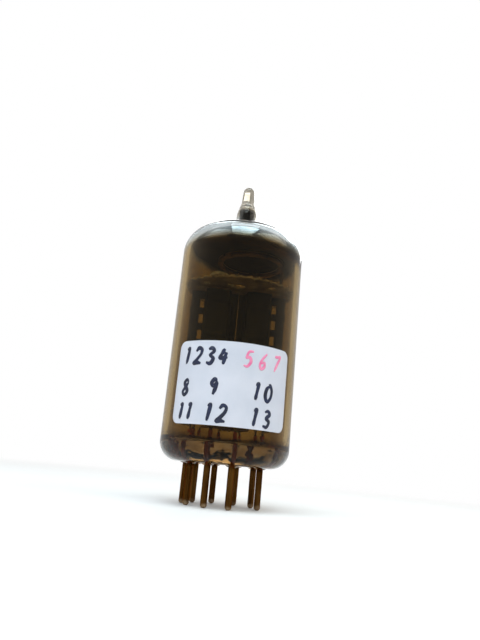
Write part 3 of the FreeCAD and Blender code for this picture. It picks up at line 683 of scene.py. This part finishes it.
oxide = Finish("oxide_coat")
coat = fade(oxide, 14.6, 15.0, 0.4, 900)
chalky = oxide.blend(oxide.clouds(900), (0.74, 0.73, 0.70), (0.86, 0.85, 0.82))
oxide.feed("Base Color", oxide.blend(coat, (0.55, 0.52, 0.47), chalky))
oxide.feed("Metallic", oxide.between(coat, 0.9, 0.0))
oxide.feed("Roughness", oxide.between(coat, 0.3, 0.85))
oxide.bump(oxide.clouds(6000), 0.00002, 0.4)
alumina = Finish("alumina_coat")
alumina.feed("Base Color", alumina.blend(alumina.clouds(1200), (0.72, 0.71, 0.68), (0.88, 0.87, 0.84)))
alumina.feed("Roughness", alumina.between(alumina.clouds(2000), 0.7, 0.9))
for system in (1, 2):
    oxide.cover(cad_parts["cathode_%d" % system])
    alumina.cover(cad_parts["heater_%d" % system])

# Getter ring: plated iron channel bent into a ring, mouth up, which held the barium.
# Firing has blued and browned it, and its dark brown is deepened as painted shade on the underside, with a pale band
# along the lip that is a painted highlight; one wire post carries it from the anode's tab.

inner, outer, floor_z, lip = 4.925, 5.775, 40.0, 40.75
channel = join(run((inner + 0.07, lip), (inner, lip - 0.06), 2), run((inner, lip - 0.06), (inner, floor_z + 0.16), 4),
               bow(inner + 0.16, floor_z + 0.16, 0.16, 180, 270, 5),
               run((inner + 0.16, floor_z), (outer - 0.16, floor_z), 4),
               bow(outer - 0.16, floor_z + 0.16, 0.16, -90, 0, 5),
               run((outer, floor_z + 0.16), (outer, lip - 0.06), 4),
               run((outer, lip - 0.06), (outer - 0.07, lip), 2),
               run((outer - 0.14, lip - 0.05), (outer - 0.14, floor_z + 0.2), 3),
               run((outer - 0.2, floor_z + 0.14), (inner + 0.2, floor_z + 0.14), 3),
               run((inner + 0.14, floor_z + 0.2), (inner + 0.14, lip - 0.05), 3))
ring_points, ring_faces = hoop(channel, 96)
getter = piece("getter_ring_channel", [(ring_points + (1.53, -0.23, 0), ring_faces)])
fired = Finish("fired_iron", Metallic=1.0)
# Fired scale, made darker as painted shade of the ring's underside; the pale colour in the lip band is a painted
# highlight.
fired_scale_and_shade = fired.blend(fired.clouds(350, 0.3, 0.7, 5.0), (0.08, 0.045, 0.025), (0.30, 0.19, 0.11))
fired.feed("Base Color", fired.blend(fade(fired, 40.5, 40.75, 0.1, 900), fired_scale_and_shade, (0.92, 0.72, 0.58)))
fired.feed("Roughness", fired.between(fired.clouds(900), 0.25, 0.5))
fired.cover(getter)
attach(getter, "root")
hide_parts("getter_ring")
post_profile = join([(0, 35.2)], run((0.3, 35.2), (0.3, 39.85), 8), bow(0.15, 39.85, 0.15, 0, 90, 4), [(0, 40.0)])
post_points, post_faces = turned(post_profile, 20)
post = piece("getter_post_wire", [(post_points + (7.1, -0.5, 0), post_faces)])
fired.cover(post)
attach(post, "root")
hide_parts("getter_post")

# Staple: a bright nickel ribbon arched over the upper mica, its front edge rolled down
# and its feet turned out underneath. It is the palest metal in the cage, its blue-white partly a painted reflection
# of a cool window.

STAPLE = (-4.9014, -1.9014)
FOOT_Z, SPRING_Z, STAPLE_Y = 34.79, 35.9, -5.0


def arch(radius):
    """Half ellipse over the staple's middle: a half circle of the radius, its height multiplied by 0.63."""
    line = bow((STAPLE[0] + STAPLE[1]) / 2, SPRING_Z, radius, 180, 0, 24)
    line[:, 1] = SPRING_Z + (line[:, 1] - SPRING_Z) * 0.63
    return line


def stood_up(made):
    """A strip with y and z exchanged and moved to the staple's row; its faces are reversed to match."""
    points, faces = made
    return points[:, [0, 2, 1]] + (0, STAPLE_Y, 0), [f[::-1] for f in faces]


leg = bent([(STAPLE[0] - 0.88, FOOT_Z, 0), (STAPLE[0], FOOT_Z, 0), (STAPLE[0], 36.85, 0)], 0.12, 4)[:-1, :2]
other_leg = leg[::-1] * (-1, 1) + (STAPLE[0] + STAPLE[1], 0)
ribbon = strip(np.concatenate([leg, arch(1.5), other_leg]), -0.44, 0.44, 0.18)
rolled_edge = strip(arch(1.30), -0.44, -0.32, 0.40)
staple = piece("top_staple", [stood_up(ribbon), stood_up(rolled_edge)])
soften = staple.modifiers.new("edges", "BEVEL")
soften.width, soften.segments, soften.limit_method = 0.03 * MM, 2, "ANGLE"
nickel_and_window_sheen = Finish("bright_nickel", Metallic=0.3)
# Pale nickel whose blue-white cast is a painted reflection and sheen of a cool window.
nickel_and_window_sheen.feed("Base Color", nickel_and_window_sheen.blend(nickel_and_window_sheen.clouds(600), (0.80, 0.92, 1.0), (0.90, 0.97, 1.0)))
nickel_and_window_sheen.feed("Roughness", nickel_and_window_sheen.between(nickel_and_window_sheen.clouds(1500), 0.22, 0.36))
nickel_and_window_sheen.cover(staple)
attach(staple, "root")
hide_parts("top_strap")

# Label: a white self-adhesive paper slip with rounded corners, pressed round the front of the bulb.
# Its edges lift by a hair and the sheet holds a few soft creases; plain numbers are penned on it.

LABEL_R, CORNER = GLASS_R, 1.2
LABEL_START, LABEL_END, LABEL_LOW, LABEL_HIGH = -52.0, 54.5, 11.74, 24.31
half_u = math.radians(LABEL_END - LABEL_START) / 2 * LABEL_R
half_v = (LABEL_HIGH - LABEL_LOW) / 2
middle_angle = math.radians((LABEL_START + LABEL_END) / 2)


def wrapped(u, v, height):
    """A point u round the bulb and v up from the label's middle, at a height over the glass."""
    a = middle_angle + u / LABEL_R
    r = LABEL_R + height
    return np.stack([r * np.sin(a), -r * np.cos(a), (LABEL_LOW + LABEL_HIGH) / 2 + v], -1)


def paper():
    """Rounded rectangle filled by a grid: each row is narrowed to the corner circles, then wrapped round the bulb."""
    nu, nv = 150, 110
    s = np.linspace(-1, 1, nu)
    turn = np.linspace(0, math.pi / 2, 13)
    edge = half_v - CORNER + CORNER * np.sin(turn)
    straight = np.linspace(-half_v + CORNER, half_v - CORNER, nv - 26)
    v = np.unique(np.round(np.r_[-edge, edge, straight], 6))
    over = np.clip(np.abs(v) - (half_v - CORNER), 0, CORNER)
    reach = half_u - CORNER + np.sqrt(np.maximum(CORNER ** 2 - over ** 2, 0))
    u = reach[:, None] * s[None]
    v = np.repeat(v[:, None], nu, 1)
    near = np.minimum(half_u - np.abs(u), half_v - np.abs(v))
    lift = 0.012 * np.exp(-near / 0.35) * (0.6 + 0.4 * np.sin(u * 1.7 + v * 0.9))
    crease = 0.008 * np.exp(-((u + 0.35 * v + 2.2) / 0.22) ** 2)
    crease += 0.006 * np.exp(-((u - 0.2 * v - 5.1) / 0.3) ** 2)
    top = wrapped(u, v, 0.06 + np.clip(lift + crease, 0, 0.018))
    low = wrapped(u, v, 0.012 + 0 * u)
    n = len(v)
    i, j = np.meshgrid(np.arange(n - 1), np.arange(nu - 1), indexing="ij")
    quads = np.stack([i * nu + j, i * nu + j + 1, (i + 1) * nu + j + 1, (i + 1) * nu + j], 2).reshape(-1, 4)
    base = n * nu
    rim = np.concatenate([np.arange(nu), nu * np.arange(1, n) + nu - 1, base - 2 - np.arange(nu - 1),
                          nu * np.arange(n - 2, 0, -1)])
    after = np.roll(rim, -1)
    walls = np.stack([rim, rim + base, after + base, after], 1)
    points = np.concatenate([top.reshape(-1, 3), low.reshape(-1, 3)])
    return points, quads.tolist() + (quads[:, ::-1] + base).tolist() + walls.tolist()


slip = piece("paper_label", [paper()])
paper_white = Finish("label_paper", Specular_IOR_Level=0.35)
paper_white.feed("Base Color", paper_white.blend(paper_white.clouds(230, 0.3, 0.75, 5.0),
                                                 (0.59, 0.62, 0.70), (0.68, 0.695, 0.77)))
paper_white.feed("Roughness", paper_white.between(paper_white.clouds(1500), 0.5, 0.7))
paper_white.bump(paper_white.clouds(4500, 0.3, 0.7, 6.0), 0.00001, 0.4)
paper_white.cover(slip)
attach(slip, "root")
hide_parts("label")

NUMERALS = {
    "0": [[(0.5, 1), (0.15, 0.75), (0.12, 0.3), (0.45, 0), (0.8, 0.25), (0.82, 0.7), (0.52, 1), (0.4, 0.97)]],
    "1": [[(0.3, 0.86), (0.52, 1), (0.5, 0.5), (0.45, 0)]],
    "2": [[(0.1, 0.78), (0.38, 1), (0.75, 0.88), (0.72, 0.6), (0.38, 0.28), (0.05, 0.03), (0.5, 0.06), (0.9, 0.02)]],
    "3": [[(0.12, 0.92), (0.5, 1), (0.75, 0.8), (0.42, 0.55), (0.8, 0.35), (0.6, 0.03), (0.1, 0.08)]],
    "4": [[(0.42, 1), (0.26, 0.7), (0.1, 0.4), (0.5, 0.42), (0.88, 0.46)], [(0.66, 0.78), (0.6, 0.4), (0.56, 0)]],
    "5": [[(0.8, 1), (0.32, 0.96), (0.22, 0.58), (0.55, 0.62), (0.78, 0.35), (0.55, 0.04), (0.12, 0.08)]],
    "6": [[(0.68, 1), (0.32, 0.65), (0.16, 0.28), (0.4, 0), (0.72, 0.16), (0.6, 0.42), (0.24, 0.32)]],
    "7": [[(0.1, 0.95), (0.45, 0.96), (0.85, 1), (0.62, 0.5), (0.42, 0)]],
    "8": [[(0.75, 0.84), (0.46, 1), (0.2, 0.8), (0.45, 0.54), (0.76, 0.26), (0.45, 0), (0.14, 0.22),
           (0.46, 0.54), (0.74, 0.82)]],
    "9": [[(0.74, 0.8), (0.45, 1), (0.2, 0.74), (0.45, 0.54), (0.74, 0.76), (0.7, 0.4), (0.56, 0)]],
}


def smooth_stroke(points, n=9):
    """Smooth curve through the points: between two, the cubic whose end slopes are half the neighbours' span."""
    p = np.asarray(points, float)
    p = np.concatenate([2 * p[:1] - p[1:2], p, 2 * p[-1:] - p[-2:-1]])
    t = np.linspace(0, 1, n, endpoint=False)[:, None]
    out = [0.5 * (2 * b + (c - a) * t + (2 * a - 5 * b + 4 * c - d) * t ** 2 + (3 * b - a - 3 * c + d) * t ** 3)
           for a, b, c, d in zip(p[:-3], p[1:-2], p[2:-1], p[3:])]
    return np.concatenate(out + [p[-2:-1]])


def pen_line(points, width):
    """Low ridge of ink along a path on the label: four points across, narrowed at both ends of the stroke."""
    path = smooth_stroke(points)
    along = np.gradient(path, axis=0)
    across = np.stack([-along[:, 1], along[:, 0]], 1) / np.maximum(np.linalg.norm(along, axis=1), 1e-6)[:, None]
    n = len(path)
    t = np.linspace(0, 1, n)
    w = width * (0.55 + 0.45 * np.clip(np.minimum(t, 1 - t) * 9, 0, 1)) * (1 + 0.12 * np.sin(t * 9 + path[0, 0] * 3))
    rows = []
    for side, height in ((-1, 0.084), (-0.7, 0.094), (0.7, 0.094), (1, 0.084)):
        at = path + across * (w * side / 2)[:, None]
        rows.append(wrapped(at[:, 0], at[:, 1], np.full(n, height)))
    faces = []
    i = np.arange(n - 1)
    for a, b in ((0, 1), (1, 2), (2, 3), (3, 0)):
        faces += np.stack([a * n + i, a * n + i + 1, b * n + i + 1, b * n + i], 1).tolist()
    faces += [[0, n, 2 * n, 3 * n], [n - 1, 4 * n - 1, 3 * n - 1, 2 * n - 1]]
    return np.concatenate(rows), faces


def penned(text, u, v, height, width, slant=0.12, spread=0.72):
    """Numerals in a row from u, each drawn in its own box and leant over by the slant."""
    made = []
    for i, mark in enumerate(text):
        for stroke in NUMERALS.get(mark, []):
            s = np.array(stroke)
            lean = s[:, 1] * slant * height
            made.append(pen_line(np.stack([u + i * height * spread + s[:, 0] * height * 0.6 + lean,
                                           v + (s[:, 1] - 0.5) * height], 1), width))
    return made


blue_ink = Finish("blue_black_ink")
blue_ink.feed("Base Color", blue_ink.blend(blue_ink.clouds(900, 0.3, 0.7),
                                           (0.005, 0.007, 0.022), (0.012, 0.020, 0.065)))
blue_ink.feed("Roughness", blue_ink.between(blue_ink.clouds(1500), 0.4, 0.6))
pink_ink = Finish("pink_ink")
pink_ink.feed("Base Color", pink_ink.blend(pink_ink.clouds(900, 0.3, 0.7), (0.80, 0.16, 0.34), (0.90, 0.36, 0.52)))
pink_ink.feed("Roughness", pink_ink.between(pink_ink.clouds(1500), 0.45, 0.65))
rows_blue = (penned("1234", -8.5, 3.9, 2.4, 0.55, spread=0.84) + penned("8", -8.2, -0.9, 2.3, 0.55) +
             penned("9", -3.5, -0.7, 2.3, 0.55) + penned("10", 3.0, -0.8, 2.4, 0.55, spread=0.85) +
             penned("11", -8.6, -4.5, 2.2, 0.55) + penned("12", -3.9, -4.5, 2.4, 0.55, spread=0.85) +
             penned("13", 3.0, -4.6, 2.4, 0.55, spread=0.85))
writing = piece("label_blue_numbers", rows_blue)
blue_ink.cover(writing)
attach(writing, "root")
marks = piece("label_pink_numbers", penned("567", 1.2, 3.9, 2.4, 0.42, 0.2, 1.0))
pink_ink.cover(marks)
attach(marks, "root")

# Studio: a pale floor under the pins and a white room for what the camera, glass and metal see.
# A long cool lamp hangs high in front, a wide one on each side and one behind.

FLOOR = 1500
floor = piece("floor", [(np.array([(-FLOOR, -FLOOR, 0), (FLOOR, -FLOOR, 0), (FLOOR, FLOOR, 0), (-FLOOR, FLOOR, 0)]),
                         [[0, 1, 2, 3]])])
pale = Finish("pale_floor", Specular_IOR_Level=0.2)
pale.feed("Base Color", pale.blend(pale.clouds(12), (0.80, 0.80, 0.79), (0.84, 0.84, 0.83)))
pale.feed("Roughness", pale.between(pale.clouds(60), 0.6, 0.75))
far = pale.node("MapRange", interpolation_type="SMOOTHSTEP")
far.inputs["From Min"].default_value, far.inputs["From Max"].default_value = 0.05, 0.22
reach = pale.node("VectorMath", operation="LENGTH")
pale.link(pale.node("TexCoord").outputs["Object"], reach.inputs[0])
pale.link(reach.outputs["Value"], far.inputs["Value"])
rays = pale.node("LightPath")
looks = [pale.node("Math", operation="MAXIMUM") for _ in range(2)]
pale.link(rays.outputs["Is Camera Ray"], looks[0].inputs[0])
pale.link(rays.outputs["Is Glossy Ray"], looks[0].inputs[1])
pale.link(looks[0].outputs[0], looks[1].inputs[0])
pale.link(rays.outputs["Is Transmission Ray"], looks[1].inputs[1])
share = pale.node("Math", operation="MULTIPLY")
pale.link(looks[1].outputs[0], share.inputs[0])
pale.link(far.outputs["Result"], share.inputs[1])
glow, join_floor = pale.node("Emission"), pale.node("MixShader")
pale.link(share.outputs[0], join_floor.inputs[0])
pale.link(pale.shader.outputs[0], join_floor.inputs[1])
pale.link(glow.outputs[0], join_floor.inputs[2])
pale.link(join_floor.outputs[0], pale.tree.nodes["Material Output"].inputs["Surface"])
pale.cover(floor)


def lamp(name, place, size, power, colour):
    light = bpy.data.lights.new(name, "AREA")
    light.shape, light.size, light.size_y = "RECTANGLE", size[0] * MM, size[1] * MM
    light.energy, light.color = power, colour
    made = bpy.data.objects.new(name, light)
    made.location = np.array(place) * MM
    aim = np.array((0, 0, 28)) - np.array(place)
    made.rotation_mode = "QUATERNION"
    made.rotation_quaternion = Vector(aim).to_track_quat("-Z", "Y")
    bpy.context.collection.objects.link(made)
    return made


lamp("window_high", (-10, -95, 255), (130, 220), 0.56, (0.80, 0.93, 1.0))
lamp("side_left", (-170, -90, 240), (200, 170), 0.24, (0.95, 0.97, 1.0))
lamp("side_right", (180, -70, 230), (200, 170), 0.22, (1.0, 0.92, 0.80))
lamp("behind", (60, 230, 200), (220, 120), 0.25, (1.0, 1.0, 1.0))

world = bpy.data.worlds.new("white_room")
bpy.context.scene.world = world
world.use_nodes = True
wn, wl = world.node_tree.nodes, world.node_tree.links
back = wn["Background"]
path = wn.new("ShaderNodeLightPath")
seen = wn.new("ShaderNodeMath")
seen.operation = "MAXIMUM"
wl.new(path.outputs["Is Camera Ray"], seen.inputs[0])
wl.new(path.outputs["Is Transmission Ray"], seen.inputs[1])
with_glossy = wn.new("ShaderNodeMath")
with_glossy.operation, with_glossy.use_clamp = "MULTIPLY_ADD", True
GLOSSY_SHARE, ROOM_LIGHT = 0.4, 0.36
wl.new(path.outputs["Is Glossy Ray"], with_glossy.inputs[0])
with_glossy.inputs[1].default_value = GLOSSY_SHARE
wl.new(seen.outputs[0], with_glossy.inputs[2])
level = wn.new("ShaderNodeMapRange")
wl.new(with_glossy.outputs[0], level.inputs["Value"])
level.inputs["To Min"].default_value = ROOM_LIGHT
level.inputs["To Max"].default_value = 1.0
wl.new(level.outputs["Result"], back.inputs["Strength"])
back.inputs["Color"].default_value = (1, 1, 1, 1)

# Camera: low and close, looking up at the tube and leaning, as the photograph was taken.

YAW, PITCH, ROLL = 0.006, 0.26, 0.095
SENSOR, FRAME_HEIGHT, FOCAL_PIXELS = 36.0, 640, 545.09
forward = np.array([math.sin(YAW) * math.cos(PITCH), math.cos(YAW) * math.cos(PITCH), math.sin(PITCH)])
right = np.array([math.cos(YAW), -math.sin(YAW), 0.0])
up = np.cross(right, forward)
right, up = right * math.cos(ROLL) + up * math.sin(ROLL), up * math.cos(ROLL) - right * math.sin(ROLL)
eye = bpy.data.cameras.new("photo_camera")
eye.sensor_width, eye.lens = SENSOR, FOCAL_PIXELS / FRAME_HEIGHT * SENSOR
eye.clip_start, eye.clip_end = 0.005, 10.0
camera = bpy.data.objects.new("photo_camera", eye)
bpy.context.collection.objects.link(camera)
camera.rotation_mode = "QUATERNION"
camera.rotation_quaternion = Matrix(np.stack([right, up, -forward], 1).tolist()).to_quaternion()
camera.location = (0.0, -0.090277, 0.0065)
bpy.context.scene.camera = camera
bpy.context.scene.view_settings.view_transform = "Standard"
